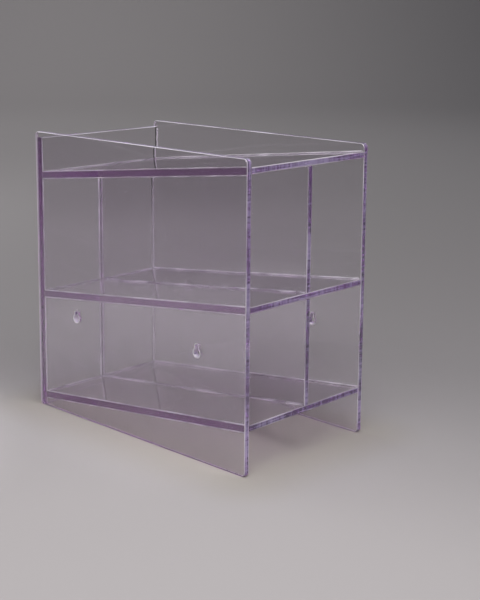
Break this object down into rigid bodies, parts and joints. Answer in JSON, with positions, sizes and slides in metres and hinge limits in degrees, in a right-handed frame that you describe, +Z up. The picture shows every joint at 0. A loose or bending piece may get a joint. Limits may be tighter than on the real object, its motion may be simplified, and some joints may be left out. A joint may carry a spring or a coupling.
{
  "type": "pipette holder",
  "caption": "Open-front bench or wall rack of clear tinted plastic sheet, with sloping shelves and a divider that form side-by-side bays for serological pipettes, and a tray on top.",
  "frame": {"origin": "on the bench, under the middle of the rack", "axes": "+Z up, -Y out of the open front, X across the width with the left side panel at -X"},
  "size_m": [0.16, 0.279, 0.273],
  "materials": {
    "side_panel_sheet": "clear violet-tinted PETG sheet, press-polished faces, scraped edges",
    "back_panel_sheet": "clear violet-tinted PETG sheet, press-polished faces, scraped edges",
    "shelf_sheet": "clear violet-tinted PETG sheet, press-polished faces, scraped edges",
    "divider_sheet": "clear violet-tinted PETG sheet, press-polished faces, scraped edges"
  },
  "bodies": {
    "root": {"left_side_panel": "side_panel_sheet", "right_side_panel": "side_panel_sheet", "back_panel": "back_panel_sheet", "bottom_shelf": "shelf_sheet", "middle_shelf": "shelf_sheet", "top_shelf": "shelf_sheet", "lower_divider": "divider_sheet", "upper_divider": "divider_sheet"}
  },
  "joints": []
}
